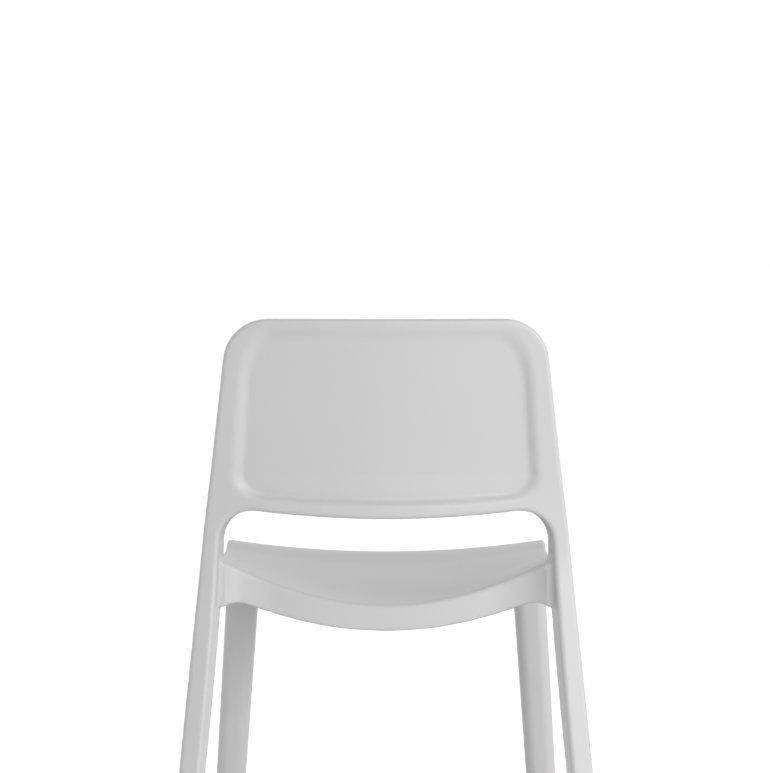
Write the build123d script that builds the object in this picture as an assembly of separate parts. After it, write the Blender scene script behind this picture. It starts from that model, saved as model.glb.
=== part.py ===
from build123d import *
import math
import os

# Stacking chair, one moulded body on four plugged feet.
# Millimetres, +Z up, the sitter faces -Y.
# Origin: floor level, under the centre of the chair's bounding box.

# Driving dimensions: overall
chair_height = 788.0
foot_line_rear = 243.0
foot_line_front = -243.0
sole_gap = 6.0

# Outer frame: rear legs, uprights and top rail
frame_half_at_floor = 271.5
frame_half_at_seat = 232.0
frame_half_at_back = 217.5
frame_half_at_top = 187.0
leg_inner_at_floor = 240.5
leg_inner_at_seat = 202.5
neck_inner_half = 198.5
seat_level = 441.0
back_level = 573.0
top_corner_radius = 46.0
gap_corner_radius = 36.0
back_bottom_mid = 547.0
back_bottom_side = 552.0
leg_slope = 0.18
back_slope = 0.27
leg_depth_foot = 36.0
leg_depth_seat = 46.0
back_depth = 26.0
back_bow = 16.0
frame_round = 5.0

# Backrest panel
recess_depth_rear = 8.0
recess_depth_front = 9.0
recess_half_top = 166.0
recess_half_bottom = 184.0
recess_bottom = 566.0
recess_top = 776.0
recess_corner = 26.0
recess_round = 2.5

# Seat
seat_rear_mid = 437.0
seat_front_mid = 451.0
seat_rear_y = 172.0
seat_front_y = -248.0
seat_half_rear = 206.0
seat_half_front = 216.5
seat_front_corner = 44.0
seat_rear_sweep = 22.0
seat_band = 33.0
leg_joint_half = 200.5
joint_round = 11.0
seat_shell = 6.0
rim_wall = 7.0
rail_wall = 34.0
seat_round = 5.0
seat_under_round = 2.5

# Front legs
front_leg_half_x = 224.0
front_leg_splay = 0.0702
front_leg_rake = 0.085
front_leg_width_foot = 38.0
front_leg_width_seat = 44.5
front_leg_depth_foot = 37.0
front_leg_depth_seat = 50.0
front_leg_top = 452.0
front_leg_corner = 13.0

# Foot plugs, glide pads and stacking bumpers
leg_wall = 6.0
hollow_top = 372.0
plug_stem_height = 34.0
plug_flange = 3.5
pad_thickness = 2.5
pad_border = 3.0
pad_peg_radius = 4.0
pad_peg_height = 4.0
bumper_radius = 8.0
bumper_height = 4.0
bumper_stem_radius = 3.0
bumper_stem_height = 9.0
bumper_x = 194.0
bumper_ys = (-110.0, 60.0)
bumper_boss = 4.5
fit_gap = 0.15

reach = 300.0


def frame_line(z):
    """Y of the middle of the frame's depth at height z, at the uprights."""
    low = foot_line_rear - leg_slope * z
    high = foot_line_rear - 9.0 - back_slope * (chair_height - z)
    gap = 16.0
    return 0.5 * (low + high + math.sqrt((low - high) ** 2 + gap ** 2))


def along(rows, s):
    """Smooth values between the rows of a table whose first column is s."""
    s = min(max(s, rows[0][0]), rows[-1][0])
    k = max(i for i in range(len(rows) - 1) if rows[i][0] <= s or i == 0)
    before, start = rows[max(k - 1, 0)], rows[k]
    end, after = rows[k + 1], rows[min(k + 2, len(rows) - 1)]
    t = (s - start[0]) / (end[0] - start[0])
    values = []
    for i in range(1, len(start)):
        slope_in = (end[i] - before[i]) / (end[0] - before[0])
        slope_out = (after[i] - start[i]) / (after[0] - start[0])
        span = end[0] - start[0]
        values.append(
            (2 * t**3 - 3 * t**2 + 1) * start[i]
            + (t**3 - 2 * t**2 + t) * span * slope_in
            + (3 * t**2 - 2 * t**3) * end[i]
            + (t**3 - t**2) * span * slope_out
        )
    return values


def frame_depth(z):
    """Depth of the frame from front to rear at height z."""
    rows = [
        (-40.0, leg_depth_foot),
        (0.0, leg_depth_foot),
        (400.0, leg_depth_seat),
        (480.0, leg_depth_seat),
        (610.0, back_depth),
        (850.0, back_depth),
    ]
    return along(rows, z)[0]


def frame_bow(z):
    """How far the middle of the back stands behind its uprights."""
    rows = [(-40.0, 0.0), (400.0, 0.0), (540.0, back_bow), (850.0, back_bow)]
    return along(rows, z)[0]


def frame_surface(offset_of):
    """A leaning, bowed sheet at a given distance behind the frame line."""
    grid = []
    rise = (chair_height + 92.0) / 22
    for i in range(23):
        z = rise * i - 40.0
        row = []
        for j in range(9):
            x = reach * (j - 4) / 4.0
            y = frame_line(z) + offset_of(z) + frame_bow(z) * (1.0 - (x / 190.0) ** 2)
            row.append(Vector(x, y, z))
        grid.append(row)
    return Face.make_surface_from_array_of_points(grid)


def behind(offset_of):
    """Everything behind such a sheet."""
    return extrude(frame_surface(offset_of), amount=400, dir=(0, 1, 0))


def mirrored_face(points):
    """A face in the XZ plane from the points of its right half."""
    right = [(x, z) for x, z in points]
    left = [(-x, z) for x, z in reversed(points)]
    return make_face(Polyline(*(right + left), close=True))


def at_corner(face, x, z):
    """The two vertices of the face at (x, z) and (-x, z)."""
    return [
        v
        for v in face.vertices()
        if abs(abs(v.X) - x) < 0.5 and abs(v.Y - z) < 0.5
    ]


def through(face):
    """The face pushed right through the chair from front to rear."""
    return extrude(Plane.XZ * face, amount=500, both=True)


def frame_outline():
    """Outer outline of legs, uprights and top rail."""
    face = mirrored_face(
        [
            (frame_half_at_floor, 0),
            (frame_half_at_seat, seat_level),
            (frame_half_at_back, back_level),
            (frame_half_at_top, chair_height),
        ]
    )
    face = fillet(at_corner(face, frame_half_at_seat, seat_level), 1500)
    face = fillet(at_corner(face, frame_half_at_back, back_level), 1500)
    return fillet(at_corner(face, frame_half_at_top, chair_height), top_corner_radius)


def leg_opening():
    """The open space between the rear legs, up to the backrest."""
    top = ThreePointArc(
        (-neck_inner_half + 2, back_bottom_side),
        (0, back_bottom_mid),
        (neck_inner_half - 2, back_bottom_side),
    )
    sides = Polyline(
        (neck_inner_half - 2, back_bottom_side),
        (neck_inner_half, 500),
        (leg_inner_at_seat, 405),
        (leg_inner_at_floor, 0),
        (-leg_inner_at_floor, 0),
        (-leg_inner_at_seat, 405),
        (-neck_inner_half, 500),
        (-neck_inner_half + 2, back_bottom_side),
    )
    face = make_face(Wire([*top.edges(), *sides.edges()]))
    face = fillet(at_corner(face, neck_inner_half - 2, back_bottom_side), gap_corner_radius)
    face = fillet(at_corner(face, leg_inner_at_seat, 405), 900)
    return face


def recess_outline():
    """Outline of the recessed backrest panel."""
    face = mirrored_face([(recess_half_bottom, recess_bottom), (recess_half_top, recess_top)])
    return fillet(face.vertices(), recess_corner)


def in_recess(edge):
    """True for the edges of the two panel recesses."""
    box = edge.bounding_box()
    half = max(abs(box.min.X), abs(box.max.X))
    return half < recess_half_bottom + 1 and box.min.Z > recess_bottom - 12


def frame():
    """Rear legs, uprights, top rail and backrest panel."""
    slab = behind(lambda z: -frame_depth(z) / 2) - behind(lambda z: frame_depth(z) / 2)
    body = slab & through(frame_outline() - leg_opening())
    body = body - Pos(0, 0, sole_gap - 50) * Box(900, 900, 100)
    body = fillet([e for e in body.edges() if e.center().Z > sole_gap + 1], frame_round)
    pocket = through(recess_outline())
    rear_pocket = pocket & behind(lambda z: frame_depth(z) / 2 - recess_depth_rear)
    front_pocket = pocket - behind(lambda z: recess_depth_front - frame_depth(z) / 2)
    body = body - rear_pocket - front_pocket
    inside = [e for e in body.edges() if in_recess(e)]
    return fillet(inside, recess_round)


def seat_row(y):
    """Top height, top curve, underside height and underside curve at y."""
    front = seat_front_mid
    rear = seat_rear_mid
    rows = [
        (-290.0, front - 52, 0.00010, front - 78, 0.00015),
        (-250.0, front - 14, 0.00022, front - 46, 0.00020),
        (-205.0, front, 0.00034, front - 34, 0.00030),
        (-110.0, front - 3, 0.00050, front - 39, 0.00050),
        (20.0, rear + 5, 0.00085, rear - 31, 0.00085),
        (120.0, rear + 1, 0.00125, rear - seat_band, 0.00105),
        (210.0, rear - 2, 0.00143, rear - seat_band, 0.00110),
    ]
    return along(rows, y)


def seat_surface(column, drop):
    """The top sheet of the seat for column 0, the underside for column 2."""
    grid = []
    for i in range(26):
        y = -290.0 + 20.0 * i
        mid, curve = seat_row(y)[column : column + 2]
        row = []
        for j in range(13):
            x = 40.0 * (j - 6)
            row.append(Vector(x, y, mid - drop + curve * x * x))
        grid.append(row)
    return Face.make_surface_from_array_of_points(grid)


def above(sheet):
    """Everything above a sheet."""
    return extrude(sheet, amount=300, dir=(0, 0, 1))


def seat_edge_y(x):
    """Y of the seat's rear edge at x."""
    return seat_rear_y - seat_rear_sweep * (x / seat_half_rear) ** 2


def seat_plan(inset_ends, inset_sides, corner):
    """Plan outline of the seat, pulled in by the given walls."""
    yr = seat_rear_y - inset_ends
    yf = seat_front_y + inset_ends
    xr = seat_half_rear - inset_sides
    xf = seat_half_front - inset_sides
    yc = yr - seat_rear_sweep
    rear = ThreePointArc((-xr, yc, 0), (0, yr, 0), (xr, yc, 0))
    front = ThreePointArc((-xf, yf + 12, 0), (0, yf, 0), (xf, yf + 12, 0))
    right = Line((xr, yc, 0), (xf, yf + 12, 0))
    left = Line((-xr, yc, 0), (-xf, yf + 12, 0))
    face = make_face([rear, right, front, left])
    corners = [v for v in face.vertices() if v.Y < 0 or inset_sides > 0]
    return fillet(corners, corner)


def broad_faces(solid):
    """The two largest faces, the lower one first."""
    return solid.faces().sort_by(SortBy.AREA)[-2:].sort_by(Axis.Z)


def seat():
    """The dished seat with a hollow underside."""
    low = above(seat_surface(2, 0))
    top = above(seat_surface(0, 0))
    plan = extrude(Pos(0, 0, 300) * seat_plan(0, 0, seat_front_corner), amount=300)
    solid = (low & plan) - top
    solid = fillet(broad_faces(solid)[-1].edges(), seat_round)
    solid = fillet(broad_faces(solid)[0].edges(), seat_under_round)
    inner = seat_plan(rim_wall, rail_wall, 16.0)
    cavity = extrude(Pos(0, 0, 300) * inner, amount=300)
    solid = solid - (cavity - above(seat_surface(0, seat_shell)))
    for side in (-1, 1):
        x = side * (leg_joint_half - joint_round)
        y = seat_edge_y(x) + joint_round
        web = Pos(x, y, 450) * Box(
            16, 2 * joint_round, 200, align=(Align.CENTER, Align.MAX, Align.CENTER)
        )
        web = Pos(side * 8, 0, 0) * web - Pos(x, y, 450) * Cylinder(joint_round, 200)
        solid = solid + ((low & web) - top)
    return solid


def front_section(side, z):
    """Middle, width and depth of a front leg at height z."""
    t = z / front_leg_top
    width = front_leg_width_foot + (front_leg_width_seat - front_leg_width_foot) * t
    depth = front_leg_depth_foot + (front_leg_depth_seat - front_leg_depth_foot) * t
    x = side * (front_leg_half_x - front_leg_splay * z)
    y = foot_line_front + front_leg_rake * z
    return x, y, width, depth


def rear_section(side, z):
    """Middle, width and depth of a rear leg at height z."""
    outer = frame_half_at_floor + (frame_half_at_seat - frame_half_at_floor) * z / seat_level
    inner = leg_inner_at_floor + (leg_inner_at_seat - leg_inner_at_floor) * z / 405.0
    return side * (outer + inner) / 2, frame_line(z), outer - inner, frame_depth(z)


def leg_shape(section_of, side, inset, corner, z_low, z_high):
    """A piece of leg between two heights, its section pulled in by inset."""
    slices = []
    for z in (z_low, (z_low + z_high) / 2, z_high):
        x, y, width, depth = section_of(side, z)
        shape = RectangleRounded(width - 2 * inset, depth - 2 * inset, corner)
        slices.append(Pos(x, y, z) * shape)
    return loft(slices)


def foot_corner(section_of):
    """Corner radius of a leg's section."""
    return front_leg_corner if section_of is front_section else frame_round


def leg_hollow(section_of, side, inset, z_high):
    """The hollow of a leg, or the stem that fills it, up from the foot."""
    corner = max(foot_corner(section_of) - leg_wall, 3.0)
    return leg_shape(section_of, side, inset, corner, sole_gap, z_high)


def seat_underside(x, y):
    """Height of the seat's underside at a point of its side rails."""
    row = seat_row(y)
    return row[2] + row[3] * x * x


def moulded_body():
    """The whole moulding with its hollow legs and bumper seats."""
    body = frame() + seat()
    for side in (-1, 1):
        body = body + leg_shape(
            front_section, side, 0, front_leg_corner, sole_gap, front_leg_top
        )
        for y in bumper_ys:
            z = seat_underside(bumper_x, y) - bumper_boss
            boss = Pos(side * bumper_x, y, z) * Cylinder(
                bumper_radius + 2, 14, align=(Align.CENTER, Align.CENTER, Align.MIN)
            )
            hole = Pos(side * bumper_x, y, z) * Cylinder(
                bumper_stem_radius + fit_gap,
                bumper_stem_height + 1,
                align=(Align.CENTER, Align.CENTER, Align.MIN),
            )
            body = body + boss - hole
        body = body - leg_hollow(front_section, side, leg_wall, hollow_top)
        body = body - leg_hollow(rear_section, side, leg_wall, hollow_top)
    return body


def foot_plug(section_of, side):
    """A plug that closes the hollow end of a leg and forms its foot."""
    x, y, width, depth = section_of(side, sole_gap)
    z = pad_thickness
    base = RectangleRounded(width - 1, depth - 1, foot_corner(section_of) - 0.5)
    flange = extrude(Pos(x, y, z) * base, amount=plug_flange)
    flange = fillet(flange.faces().sort_by(Axis.Z)[0].edges(), 1.0)
    stem = leg_hollow(section_of, side, leg_wall + fit_gap, plug_stem_height)
    peg_hole = Pos(x, y, z) * Cylinder(
        pad_peg_radius + fit_gap,
        pad_peg_height + 0.5,
        align=(Align.CENTER, Align.CENTER, Align.MIN),
    )
    return flange + stem - peg_hole


def glide_pad(section_of, side):
    """The soft sole under a foot plug, with its locating peg."""
    x, y, width, depth = section_of(side, sole_gap)
    shape = RectangleRounded(width - 2 * pad_border, depth - 2 * pad_border, 3.5)
    sole = extrude(Pos(x, y, 0) * shape, amount=pad_thickness)
    sole = fillet(sole.faces().sort_by(Axis.Z)[0].edges(), 0.8)
    peg = Pos(x, y, pad_thickness) * Cylinder(
        pad_peg_radius, pad_peg_height, align=(Align.CENTER, Align.CENTER, Align.MIN)
    )
    return sole + peg


def stacking_bumper(side, y):
    """A soft button pressed into the underside of a seat rail."""
    z = seat_underside(bumper_x, y) - bumper_boss
    head = Pos(side * bumper_x, y, z) * Cylinder(
        bumper_radius, bumper_height, align=(Align.CENTER, Align.CENTER, Align.MAX)
    )
    head = fillet(head.faces().sort_by(Axis.Z)[0].edges(), 1.5)
    stem = Pos(side * bumper_x, y, z) * Cylinder(
        bumper_stem_radius, bumper_stem_height, align=(Align.CENTER, Align.CENTER, Align.MIN)
    )
    return head + stem


def save(shape, name):
    """Write one node."""
    shape.label = name
    export_step(shape, "parts/" + name + ".step")


os.makedirs("parts", exist_ok=True)
save(moulded_body(), "moulded_body")
for side, hand in ((1, "left"), (-1, "right")):
    for section_of, end in ((front_section, "front"), (rear_section, "rear")):
        save(foot_plug(section_of, side), "foot_plug_" + end + "_" + hand)
        save(glide_pad(section_of, side), "glide_pad_" + end + "_" + hand)
    for y, end in zip(bumper_ys, ("front", "rear")):
        save(stacking_bumper(side, y), "stacking_bumper_" + end + "_" + hand)
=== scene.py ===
import math

import bpy
import numpy as np
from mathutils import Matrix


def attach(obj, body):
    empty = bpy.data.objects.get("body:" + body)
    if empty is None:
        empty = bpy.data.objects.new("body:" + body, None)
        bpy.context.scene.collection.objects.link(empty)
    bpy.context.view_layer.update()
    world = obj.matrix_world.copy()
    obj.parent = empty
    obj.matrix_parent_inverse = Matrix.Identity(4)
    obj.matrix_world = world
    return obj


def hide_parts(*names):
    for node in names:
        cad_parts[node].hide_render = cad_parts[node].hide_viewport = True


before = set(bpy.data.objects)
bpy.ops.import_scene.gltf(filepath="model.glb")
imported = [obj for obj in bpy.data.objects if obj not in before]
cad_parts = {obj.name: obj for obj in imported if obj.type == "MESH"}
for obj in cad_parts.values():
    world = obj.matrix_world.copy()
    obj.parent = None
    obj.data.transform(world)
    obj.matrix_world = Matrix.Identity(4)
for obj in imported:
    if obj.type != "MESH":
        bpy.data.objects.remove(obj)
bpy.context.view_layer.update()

import openvdb
from mathutils import Vector


# ---- shader maths -------------------------------------------------------


OBJECT_OUTPUT = 3


class Sock:
    """A value socket that takes part in Python sums."""

    def __init__(self, shader, socket):
        self.shader, self.socket = shader, socket

    def _math(self, operation, *values):
        return self.shader.node(
            "ShaderNodeMath", {"operation": operation}, dict(enumerate(values))
        )

    def __add__(self, other):
        return self._math("ADD", self, other)

    def __radd__(self, other):
        return self._math("ADD", other, self)

    def __sub__(self, other):
        return self._math("SUBTRACT", self, other)

    def __mul__(self, other):
        return self._math("MULTIPLY", self, other)

    def clip(self):
        return self._math("MINIMUM", self._math("MAXIMUM", self, 0.0), 1.0)


class Shader:
    """One material and the only way its nodes are made."""

    def __init__(self, name):
        self.material = bpy.data.materials.new(name)
        self.material.use_nodes = True
        self.tree = self.material.node_tree
        self.tree.nodes.clear()

    def node(self, kind, settings=None, sockets=None, out=0):
        made = self.tree.nodes.new(kind)
        for key, value in (settings or {}).items():
            if key == "stops":
                ramp = made.color_ramp
                while len(ramp.elements) < len(value):
                    ramp.elements.new(0.5)
                for element, (at, colour) in zip(ramp.elements, value):
                    element.position, element.color = at, colour
            else:
                setattr(made, key, value)
        for key, value in (sockets or {}).items():
            if isinstance(value, Sock):
                self.tree.links.new(value.socket, made.inputs[key])
            else:
                made.inputs[key].default_value = value
        return Sock(self, made.outputs[out]) if len(made.outputs) > out else None

    def noise(self, scale, detail, rough=0.5):
        """Noise in the object's own coordinates."""
        where = self.node("ShaderNodeTexCoord", out=OBJECT_OUTPUT)
        sockets = {"Vector": where, "Scale": scale, "Detail": detail, "Roughness": rough}
        return self.node("ShaderNodeTexNoise", None, sockets)

    def ramp(self, stops, value):
        return self.node("ShaderNodeValToRGB", {"stops": stops}, {0: value})

    def bump(self, strength, distance, height):
        sockets = {"Strength": strength, "Distance": distance, "Height": height}
        return self.node("ShaderNodeBump", None, sockets)

    def finish(self, **sockets):
        named = {key.replace("_", " "): value for key, value in sockets.items()}
        surface = self.node("ShaderNodeBsdfPrincipled", None, named)
        self.node("ShaderNodeOutputMaterial", None, {"Surface": surface})
        return self.material


# ---- the moulded body, in millimetres -----------------------------------

# The surface is worked out on a grid of this step, then settled exactly.
GRID_STEP = 3.5
GRID_LOW = (-280.0, -272.0, -2.0)
GRID_SPAN = (560.0, 546.0, 800.0)
SETTLE_ROUNDS = 4

# Frame: rear legs, uprights and top rail
CHAIR_TOP = 788.0
FOOT_LINE_REAR = 243.0
LEG_SLOPE = 0.18
BACK_SLOPE = 0.27
BACK_SETBACK = 9.0
BACK_FROM = 480.0
LINE_BLEND = 16.0
LEG_INNER, LEG_INNER_TAPER = 246.2, 0.0937
NECK_INNER, NECK_TAPER, NECK_LEVEL = 208.6, 0.055, 405.0
INNER_BLEND = 4.0
FOOT_WIDENING = 6.5
TOP_CORNER = 46.0
GAP_CORNER = 44.0
FRAME_EDGE = 5.5

# The faces of the frame turn outward and its sides lean, above square feet.
TURN, LEG_TURN = 0.145, 0.085
TURN_SPAN = 120.0
LEG_TURN_TOP, LEG_TURN_FADE = 600.0, 120.0
SIDE_LEAN = 0.13
SQUARE_TO, SQUARE_FADE = 50.0, 170.0

# Backrest and its two recesses
BACK_LOW, BACK_LOW_RISE, BACK_HALF = 545.6, 13.0, 196.0
RECESS_HALF, RECESS_LEVEL = 187.0, 566.0
RECESS_TAPER, RECESS_HEIGHT = 18.0, 210.0
RECESS_LOW, RECESS_LOW_RISE, RECESS_LOW_HALF = 561.5, 9.0, 184.0
RECESS_TOP = 778.0
RECESS_CORNER = 18.0
RECESS_BED, RECESS_RIM = 1.5, 2.2
SIDE_DRAFT, LEDGE_DRAFT, BROW_DRAFT = 1.6, 1.1, 3.0
SIDE_SCALE, LEDGE_SCALE, BROW_SCALE = 1.89, 1.49, 3.16
REAR_RECESS = (1.0, 6.5, 0.0)
FRONT_RECESS = (-1.0, 9.0, 2.0)
DISHING, DISHING_LENGTH = 4.0, 45.0

# Seat
SEAT_REAR, SEAT_SWEEP, SEAT_HALF_REAR = 172.0, 22.0, 206.0
SWEEP_GROWTH = 0.00104
SEAT_FRONT, SEAT_BOW, SEAT_HALF_FRONT = -236.0, 12.0, 216.5
SEAT_SIDE_GAIN, SEAT_SIDE_FROM, SEAT_LENGTH = 10.5, 150.0, 386.0
SEAT_CORNER = 44.0
EAR_REACH, EAR_FROM, EAR_SPAN = 18.0, 130.0, 70.0
JOINT_DROP = 14.0
JOINT_Y, JOINT_Y_SPAN = 105.0, 35.0
JOINT_X, JOINT_X_SPAN = 170.0, 30.0
FLARE = 26.0
FLARE_HALF, FLARE_BACK, FLARE_FRONT = 218.0, 174.0, 152.0
SEAT_EDGE, SEAT_LOW_EDGE = 5.0, 3.0
SEAT_SHELL = 6.0
SIDE_RIM, END_RIM = 34.0, 7.0
CAVITY_CORNER, CAVITY_BED, CAVITY_RIM = 16.0, 4.0, 2.0

# Front legs
FRONT_LEG_X, FRONT_LEG_LEAN = 224.0, 0.0702
FRONT_LEG_Y, FRONT_LEG_SLOPE = -243.0, 0.085
FRONT_LEG_HALF_X, FRONT_LEG_GAIN_X = 19.0, 3.25
FRONT_LEG_HALF_Y, FRONT_LEG_GAIN_Y = 18.5, 6.5
FRONT_LEG_LENGTH = 452.0
FRONT_LEG_TOP = 450.0
FRONT_LEG_CORNER = 15.0
FRONT_LEG_EDGE = 6.0

# Hollow ends of the legs, and bosses for the stacking bumpers
SOLE_GAP = 6.0
HOLE_TOP = 38.0
FRONT_HOLE_X, FRONT_HOLE_X_GAIN = 13.2, 0.007
FRONT_HOLE_Y, FRONT_HOLE_Y_GAIN = 12.7, 0.014
REAR_LEG_X, REAR_LEG_LEAN = 256.0, 0.0917
REAR_HOLE_X = 9.7
REAR_HOLE_Y, REAR_HOLE_Y_GAIN = 12.3, 0.013
BUMPER_X = 194.0
BUMPER_ROWS = (-110.0, 60.0)
BOSS_RADIUS, BOSS_HALF_HEIGHT, BOSS_DROP = 10.0, 7.0, 4.5
BOSS_EDGE = 1.0

# Fillets between the parts of the moulding
LEG_FILLET, BOSS_FILLET, FRAME_FILLET = 12.0, 2.0, 6.0
HOLE_EDGE, SOLE_EDGE = 0.8, 1.2
FAR = 1e3


def along(rows, low, high):
    """A lookup of smooth curves through the rows of a table."""
    rows = np.array(rows, dtype=float)
    at, values = rows[:, 0], rows[:, 1:]
    slope = np.gradient(values, at, axis=0)
    s = np.arange(low, high + 1.0, 1.0)
    inside = np.clip(s, at[0], at[-1])
    k = np.clip(np.searchsorted(at, inside, side="right") - 1, 0, len(at) - 2)
    span = (at[k + 1] - at[k])[:, None]
    t = ((inside - at[k]) / (at[k + 1] - at[k]))[:, None]
    curve = (
        (2 * t**3 - 3 * t**2 + 1) * values[k]
        + (t**3 - 2 * t**2 + t) * span * slope[k]
        + (3 * t**2 - 2 * t**3) * values[k + 1]
        + (t**3 - t**2) * span * slope[k + 1]
    )
    return lambda q: [np.interp(q, s, curve[:, i]) for i in range(values.shape[1])]


def both(a, b, r):
    """Inside both shapes, with outer edges rounded to r."""
    edge = np.hypot(np.maximum(a + r, 0), np.maximum(b + r, 0))
    return np.minimum(np.maximum(a, b), -r) + edge


def either(a, b, r):
    """Inside either shape, with a fillet of r between them."""
    edge = np.hypot(np.maximum(r - a, 0), np.maximum(r - b, 0))
    return np.maximum(np.minimum(a, b), r) - edge


def without(a, b, r):
    """The first shape cut by the second, with the rim rounded to r."""
    return both(a, -b, r)


def soft_max(a, b, blend):
    """The larger of two values, with a smooth change between them."""
    return 0.5 * (a + b + np.sqrt((a - b) ** 2 + blend**2))


def fade(distance, span):
    """Grows from 0 to 1 while a distance grows from 0 to the span."""
    return np.clip(distance / span, 0.0, 1.0)


# Rows of height and depth, then of height and half width
frame_depths = along(
    [(-40, 36), (0, 36), (400, 46), (480, 46), (610, 26), (850, 26)], -60, 860
)
frame_outer = along(
    [
        (-10, 272.4),
        (0, 271.5),
        (237, 251.0),
        (441, 231.2),
        (534, 221.5),
        (600, 212.8),
        (739, 194.8),
        (850, 180.0),
    ],
    -60,
    860,
)
# Rows of y, then level and curvature of the seat's top and of its underside
seat_curves = along(
    [
        (-290, 399, 0.00010, 373, 0.00015),
        (-250, 440, 0.00020, 405, 0.00020),
        (-205, 453.7, 0.00033, 417, 0.00030),
        (-110, 448, 0.00050, 412, 0.00050),
        (20, 442, 0.00085, 406, 0.00085),
        (120, 438, 0.00125, 404, 0.00105),
        (210, 435, 0.00143, 404, 0.00110),
    ],
    -300,
    300,
)


def frame_line(z):
    """Y of the middle of the frame's depth at height z."""
    low = FOOT_LINE_REAR - LEG_SLOPE * z
    high = FOOT_LINE_REAR - BACK_SETBACK - BACK_SLOPE * (CHAIR_TOP - z)
    return soft_max(low, high, LINE_BLEND)


def frame_solid(x, y, z):
    """Rear legs, uprights, top rail and the recessed backrest."""
    depth = frame_depths(z)[0]
    outer = frame_outer(z)[0]
    leg_inner = LEG_INNER - LEG_INNER_TAPER * z
    neck_inner = NECK_INNER - NECK_TAPER * (z - NECK_LEVEL)
    inner = soft_max(leg_inner, neck_inner, INNER_BLEND)
    middle = 0.5 * (outer + inner)
    above_foot = fade(z - SQUARE_TO, SQUARE_FADE)
    amount = (TURN + LEG_TURN * fade(LEG_TURN_TOP - z, LEG_TURN_FADE)) * above_foot
    turn = amount * (np.hypot(x, TURN_SPAN) - np.hypot(middle, TURN_SPAN))
    line = frame_line(z) - turn
    flat = 1.0 / np.sqrt(1.0 + np.where(z > BACK_FROM, BACK_SLOPE, LEG_SLOPE) ** 2)
    slab = (np.abs(y - line) - 0.5 * depth) * flat
    from_rear = line + 0.5 * depth - y
    side = x + SIDE_LEAN * above_foot * from_rear
    inner = inner - FOOT_WIDENING * (1.0 - above_foot)
    outline = both(side - outer, z - CHAIR_TOP, TOP_CORNER)
    back_low = BACK_LOW + BACK_LOW_RISE * (x / BACK_HALF) ** 2
    opening = both(side - inner, z - back_low, GAP_CORNER)
    outline = np.maximum(outline, -opening)
    solid = both(slab, outline, FRAME_EDGE)
    half = RECESS_HALF - RECESS_TAPER * (z - RECESS_LEVEL) / RECESS_HEIGHT
    low_rim = RECESS_LOW + RECESS_LOW_RISE * (x / RECESS_LOW_HALF) ** 2
    dishing = np.exp((z - CHAIR_TOP) / DISHING_LENGTH)
    for sign, full_depth, narrower in (REAR_RECESS, FRONT_RECESS):
        deep = full_depth - DISHING * dishing
        below = sign * (y - line) - 0.5 * depth
        inward = np.maximum(-below, 0.0)
        sides = (x - half + narrower + SIDE_DRAFT * inward) / SIDE_SCALE
        ledge = (low_rim - z + LEDGE_DRAFT * inward) / LEDGE_SCALE
        brow = (z - RECESS_TOP + BROW_DRAFT * inward) / BROW_SCALE
        rim = both(both(sides, ledge, RECESS_CORNER), brow, RECESS_CORNER)
        pocket = both(rim, -deep * flat - below * flat, RECESS_BED)
        solid = without(solid, pocket, RECESS_RIM)
    return solid


def seat_solid(x, y, z, frame_at):
    """The dished seat, flared into the frame, with a hollow underside."""
    top, top_curve, low, low_curve = seat_curves(y)
    at_joint = fade(y - JOINT_Y, JOINT_Y_SPAN) * fade(x - JOINT_X, JOINT_X_SPAN) ** 2
    low = low - JOINT_DROP * at_joint
    above = (z - top - top_curve * x**2) / np.sqrt(1.0 + (2 * top_curve * x) ** 2)
    below = (low + low_curve * x**2 - z) / np.sqrt(1.0 + (2 * low_curve * x) ** 2)
    ear = EAR_REACH * fade(x - EAR_FROM, EAR_SPAN) ** 2
    swept = SEAT_REAR - SEAT_SWEEP * (x / SEAT_HALF_REAR) ** 2 + ear
    rear = (y - swept) / np.sqrt(1.0 + (SWEEP_GROWTH * x) ** 2)
    front = SEAT_FRONT - SEAT_BOW * (1.0 - (x / SEAT_HALF_FRONT) ** 2) - y
    side = x - SEAT_HALF_REAR - SEAT_SIDE_GAIN * (SEAT_SIDE_FROM - y) / SEAT_LENGTH
    plan = np.maximum(both(side, front, SEAT_CORNER), rear)
    flare = either(plan, frame_at, FLARE)
    near_leg = np.maximum(np.maximum(x - FLARE_HALF, y - FLARE_BACK), FLARE_FRONT - y)
    plan = np.minimum(plan, np.maximum(flare, near_leg))
    solid = both(both(plan, above, SEAT_EDGE), below, SEAT_LOW_EDGE)
    rim = both(side + SIDE_RIM, front + END_RIM, CAVITY_CORNER)
    rim = both(rim, rear + END_RIM, CAVITY_CORNER)
    cavity = both(rim, above + SEAT_SHELL, CAVITY_BED)
    return without(solid, cavity, CAVITY_RIM)


def front_leg_offsets(x, y, z):
    """Distances across and along from the middle line of a front leg."""
    across = np.abs(x - FRONT_LEG_X + FRONT_LEG_LEAN * z)
    return across, np.abs(y - FRONT_LEG_Y - FRONT_LEG_SLOPE * z)


def front_leg(x, y, z):
    """A front leg, rounded in section, running up into the seat's corner."""
    t = z / FRONT_LEG_LENGTH
    half_x = FRONT_LEG_HALF_X + FRONT_LEG_GAIN_X * t
    half_y = FRONT_LEG_HALF_Y + FRONT_LEG_GAIN_Y * t
    from_x, from_y = front_leg_offsets(x, y, z)
    dx = from_x - half_x + FRONT_LEG_CORNER
    dy = from_y - half_y + FRONT_LEG_CORNER
    edge = np.hypot(np.maximum(dx, 0), np.maximum(dy, 0)) - FRONT_LEG_CORNER
    section = np.minimum(np.maximum(dx, dy), 0) + edge
    return both(section, z - FRONT_LEG_TOP, FRONT_LEG_EDGE)


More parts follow.
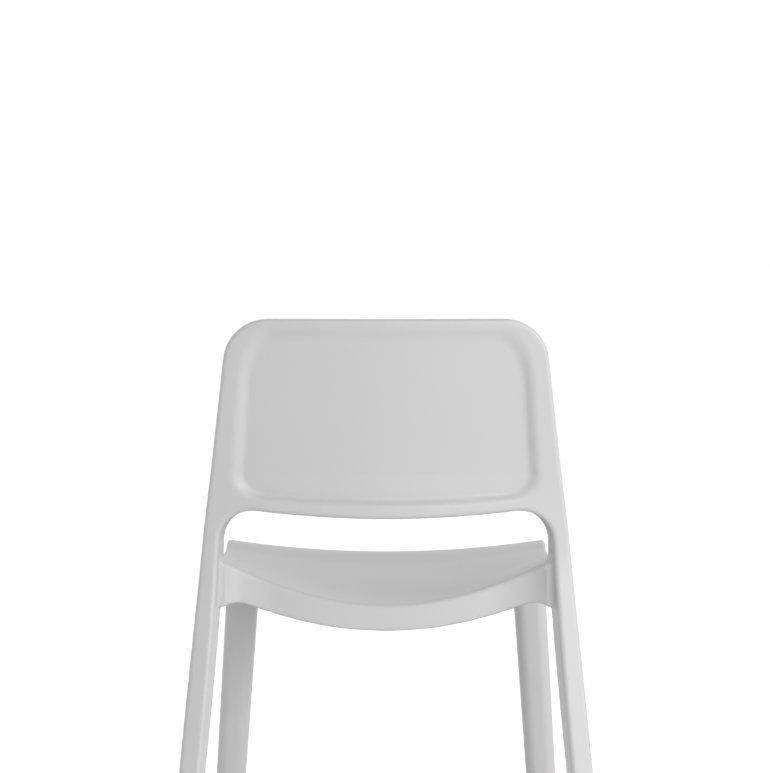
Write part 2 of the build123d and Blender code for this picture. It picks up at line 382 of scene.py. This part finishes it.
def stem_hole(x, y, z):
    """The hollow ends of the legs that the foot plugs fill."""
    from_x, from_y = front_leg_offsets(x, y, z)
    front = np.maximum(
        from_x - FRONT_HOLE_X - FRONT_HOLE_X_GAIN * z,
        from_y - FRONT_HOLE_Y - FRONT_HOLE_Y_GAIN * z,
    )
    from_rear = np.abs(y - FOOT_LINE_REAR + LEG_SLOPE * z)
    rear = np.maximum(
        np.abs(x - REAR_LEG_X + REAR_LEG_LEAN * z) - REAR_HOLE_X,
        from_rear - REAR_HOLE_Y - REAR_HOLE_Y_GAIN * z,
    )
    return np.maximum(np.minimum(front, rear), z - HOLE_TOP)


def bumper_bosses(x, y, z):
    """Round bosses under the seat's side rails."""
    found = np.full_like(z, FAR)
    for at in BUMPER_ROWS:
        _, _, rail, curve = (float(v) for v in seat_curves(at))
        level = rail + curve * BUMPER_X**2 - BOSS_DROP
        round_part = np.hypot(x - BUMPER_X, y - at) - BOSS_RADIUS
        height = np.abs(z - level - BOSS_HALF_HEIGHT) - BOSS_HALF_HEIGHT
        found = np.minimum(found, both(round_part, height, BOSS_EDGE))
    return found


def body_distance(x, y, z):
    """Signed distance to the moulding, symmetric about its middle plane."""
    x = np.abs(x)
    frame_at = frame_solid(x, y, z)
    seat_and_legs = either(seat_solid(x, y, z, frame_at), front_leg(x, y, z), LEG_FILLET)
    seat_and_legs = either(seat_and_legs, bumper_bosses(x, y, z), BOSS_FILLET)
    body = either(frame_at, seat_and_legs, FRAME_FILLET)
    body = without(body, stem_hole(x, y, z), HOLE_EDGE)
    return both(body, SOLE_GAP - z, SOLE_EDGE)


def body_slope(points):
    """Direction in which the distance to the moulding grows fastest."""
    step = 0.02
    ahead = [body_distance(*(points + step * axis).T) for axis in np.eye(3)]
    behind = [body_distance(*(points - step * axis).T) for axis in np.eye(3)]
    return (np.stack(ahead, axis=1) - np.stack(behind, axis=1)) / (2 * step)


def moulded_mesh(name):
    """Polygons of the moulding, each corner settled on the true surface."""
    low = np.array(GRID_LOW)
    counts = (np.array(GRID_SPAN) / GRID_STEP).astype(int) + 1
    axes = [low[i] + GRID_STEP * np.arange(counts[i]) for i in range(3)]
    block = np.empty(counts, dtype=np.float32)
    for i in range(0, counts[0], 16):
        x, y, z = np.meshgrid(axes[0][i : i + 16], axes[1], axes[2], indexing="ij")
        block[i : i + 16] = body_distance(x, y, z)
    limit = 3.0 * GRID_STEP
    volume = openvdb.FloatGrid(limit)
    volume.copyFromArray(np.clip(block, -limit, limit))
    points, triangles, quads = volume.convertToPolygons(0.0, 0.0)
    points = points.astype(float) * GRID_STEP + low
    for _ in range(SETTLE_ROUNDS):
        here, slope = body_distance(*points.T), body_slope(points)
        size = np.maximum((slope**2).sum(axis=1), 0.25)
        points = points - np.clip(here, -1.5, 1.5)[:, None] * slope / size[:, None]
    faces = [tuple(q) for q in quads] + [tuple(t) for t in triangles]
    mesh = bpy.data.meshes.new(name)
    mesh.from_pydata((points / 1000.0).tolist(), [], faces)
    mesh.update()
    mesh.shade_smooth()
    normals = body_slope(points)
    normals /= np.linalg.norm(normals, axis=1)[:, None]
    mesh.normals_split_custom_set_from_vertices(normals.tolist())
    piece = bpy.data.objects.new(name, mesh)
    bpy.context.scene.collection.objects.link(piece)
    return piece


body = moulded_mesh("moulded_body_visual")
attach(body, "root")
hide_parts("moulded_body")


# ---- finishes -----------------------------------------------------------

# Texture scales are per metre, bump distances in metres.
CLOUD_SCALE, FLOW_SCALE, RIPPLE_SCALE, FINE_SCALE = 9.0, 46.0, 130.0, 1700.0
FLOW_SHADE = 0.985
PLASTIC_BUMP = 0.35
DUST_SCALE, RUBBER_GRAIN_SCALE = 210.0, 1500.0
RUBBER_BUMP, RUBBER_GRAIN = 0.5, 0.00012
SHELL_GREY = [0.34, 0.34, 0.34, 1.0]
PLUG_GREY = [0.42, 0.42, 0.415, 1.0]
PAD_GREY = [0.10, 0.10, 0.10, 1.0]
BUMPER_GREY = [0.36, 0.36, 0.355, 1.0]


def moulded_plastic(name, colour, rough, grain):
    """Satin moulded plastic with a fine mould texture and faint flow marks."""
    m = Shader(name)
    cloud = m.noise(CLOUD_SCALE, 4.0)
    flow = m.noise(FLOW_SCALE, 2.0)
    fine = m.noise(FINE_SCALE, 3.0, 0.6)
    ripple = m.noise(RIPPLE_SCALE, 2.0)
    dark = [c * FLOW_SHADE for c in colour[:3]] + [1.0]
    tint = m.ramp([(0.3, dark), (0.7, colour)], cloud * 0.75 + flow * 0.25)
    gloss = rough + (cloud - 0.5) * 0.07 + (fine - 0.5) * 0.08
    bumped = m.bump(PLASTIC_BUMP, grain, fine * 0.8 + ripple * 0.6)
    return m.finish(
        Base_Color=tint,
        Roughness=gloss.clip(),
        Normal=bumped,
        IOR=1.49,
        Specular_IOR_Level=0.42,
    )


def soft_rubber(name, colour, rough):
    """Soft elastomer with a dusty, slightly uneven surface."""
    m = Shader(name)
    dust = m.noise(DUST_SCALE, 5.0)
    grain = m.noise(RUBBER_GRAIN_SCALE, 2.0)
    dusty = [min(c * 1.25 + 0.02, 1.0) for c in colour[:3]] + [1.0]
    tint = m.ramp([(0.35, colour), (0.8, dusty)], dust)
    bumped = m.bump(RUBBER_BUMP, RUBBER_GRAIN, grain)
    return m.finish(
        Base_Color=tint,
        Roughness=(rough + (dust - 0.5) * 0.2).clip(),
        Normal=bumped,
        Specular_IOR_Level=0.35,
    )


body.data.materials.append(moulded_plastic("shell_satin_plastic", SHELL_GREY, 0.42, 0.00006))
finishes = {
    "foot_plug": moulded_plastic("plug_grey_plastic", PLUG_GREY, 0.55, 0.00005),
    "glide_pad": soft_rubber("pad_grey_rubber", PAD_GREY, 0.78),
    "stacking_bumper": soft_rubber("bumper_pale_rubber", BUMPER_GREY, 0.62),
}
for name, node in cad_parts.items():
    for kind, finish in finishes.items():
        if name.startswith(kind):
            for material_slot in node.material_slots:
                material_slot.material = finish


# ---- floor, light and camera --------------------------------------------


FLOOR_HALF = 60.0
FLOOR_WHITE = [0.93, 0.93, 0.93, 1.0]
WORLD_STRENGTH = 1.1
LAMP_AIM = (0.0, 0.1, 0.5)
SENSOR_WIDTH = 36.0
LENS = 119.2675
LENS_SHIFT = -0.0012987
CAMERA_PLACE = (0.0, 3.262, 0.898)
CAMERA_DIP = 3.603


def studio_floor():
    """A wide pale floor."""
    mesh = bpy.data.meshes.new("studio_floor")
    half = FLOOR_HALF
    corners = [(-half, -half, 0), (half, -half, 0), (half, half, 0), (-half, half, 0)]
    mesh.from_pydata(corners, [], [(0, 1, 2, 3)])
    floor = bpy.data.objects.new("studio_floor", mesh)
    bpy.context.scene.collection.objects.link(floor)
    m = Shader("pale_floor")
    mesh.materials.append(
        m.finish(Base_Color=FLOOR_WHITE, Roughness=0.9, Specular_IOR_Level=0.1)
    )


def softbox(name, place, size, power):
    """A square area lamp aimed at the chair."""
    data = bpy.data.lights.new(name, "AREA")
    data.shape = "SQUARE"
    data.size = size
    data.energy = power
    lamp = bpy.data.objects.new(name, data)
    lamp.location = place
    lamp.rotation_mode = "QUATERNION"
    lamp.rotation_quaternion = (Vector(LAMP_AIM) - Vector(place)).to_track_quat("-Z", "Y")
    bpy.context.scene.collection.objects.link(lamp)


def pale_world(strength):
    """Even white light from all round."""
    world = bpy.data.worlds.new("pale_studio")
    world.use_nodes = True
    ground = world.node_tree.nodes["Background"]
    ground.inputs["Color"].default_value = (1.0, 1.0, 1.0, 1.0)
    ground.inputs["Strength"].default_value = strength
    bpy.context.scene.world = world


def chair_camera():
    """Behind the chair, level with its top and tipped slightly down."""
    data = bpy.data.cameras.new("camera")
    data.sensor_fit = "HORIZONTAL"
    data.sensor_width = SENSOR_WIDTH
    data.lens = LENS
    data.shift_x = LENS_SHIFT
    data.clip_end = 200.0
    camera = bpy.data.objects.new("camera", data)
    camera.location = CAMERA_PLACE
    camera.rotation_euler = (math.radians(90.0 - CAMERA_DIP), 0.0, math.radians(180.0))
    bpy.context.scene.collection.objects.link(camera)
    bpy.context.scene.camera = camera


studio_floor()
pale_world(WORLD_STRENGTH)
softbox("near_softbox", (-1.65, 3.55, 1.35), 1.4, 58.0)
softbox("side_softbox", (-3.4, 1.95, 1.35), 1.6, 66.0)
chair_camera()
bpy.context.scene.view_settings.view_transform = "Standard"
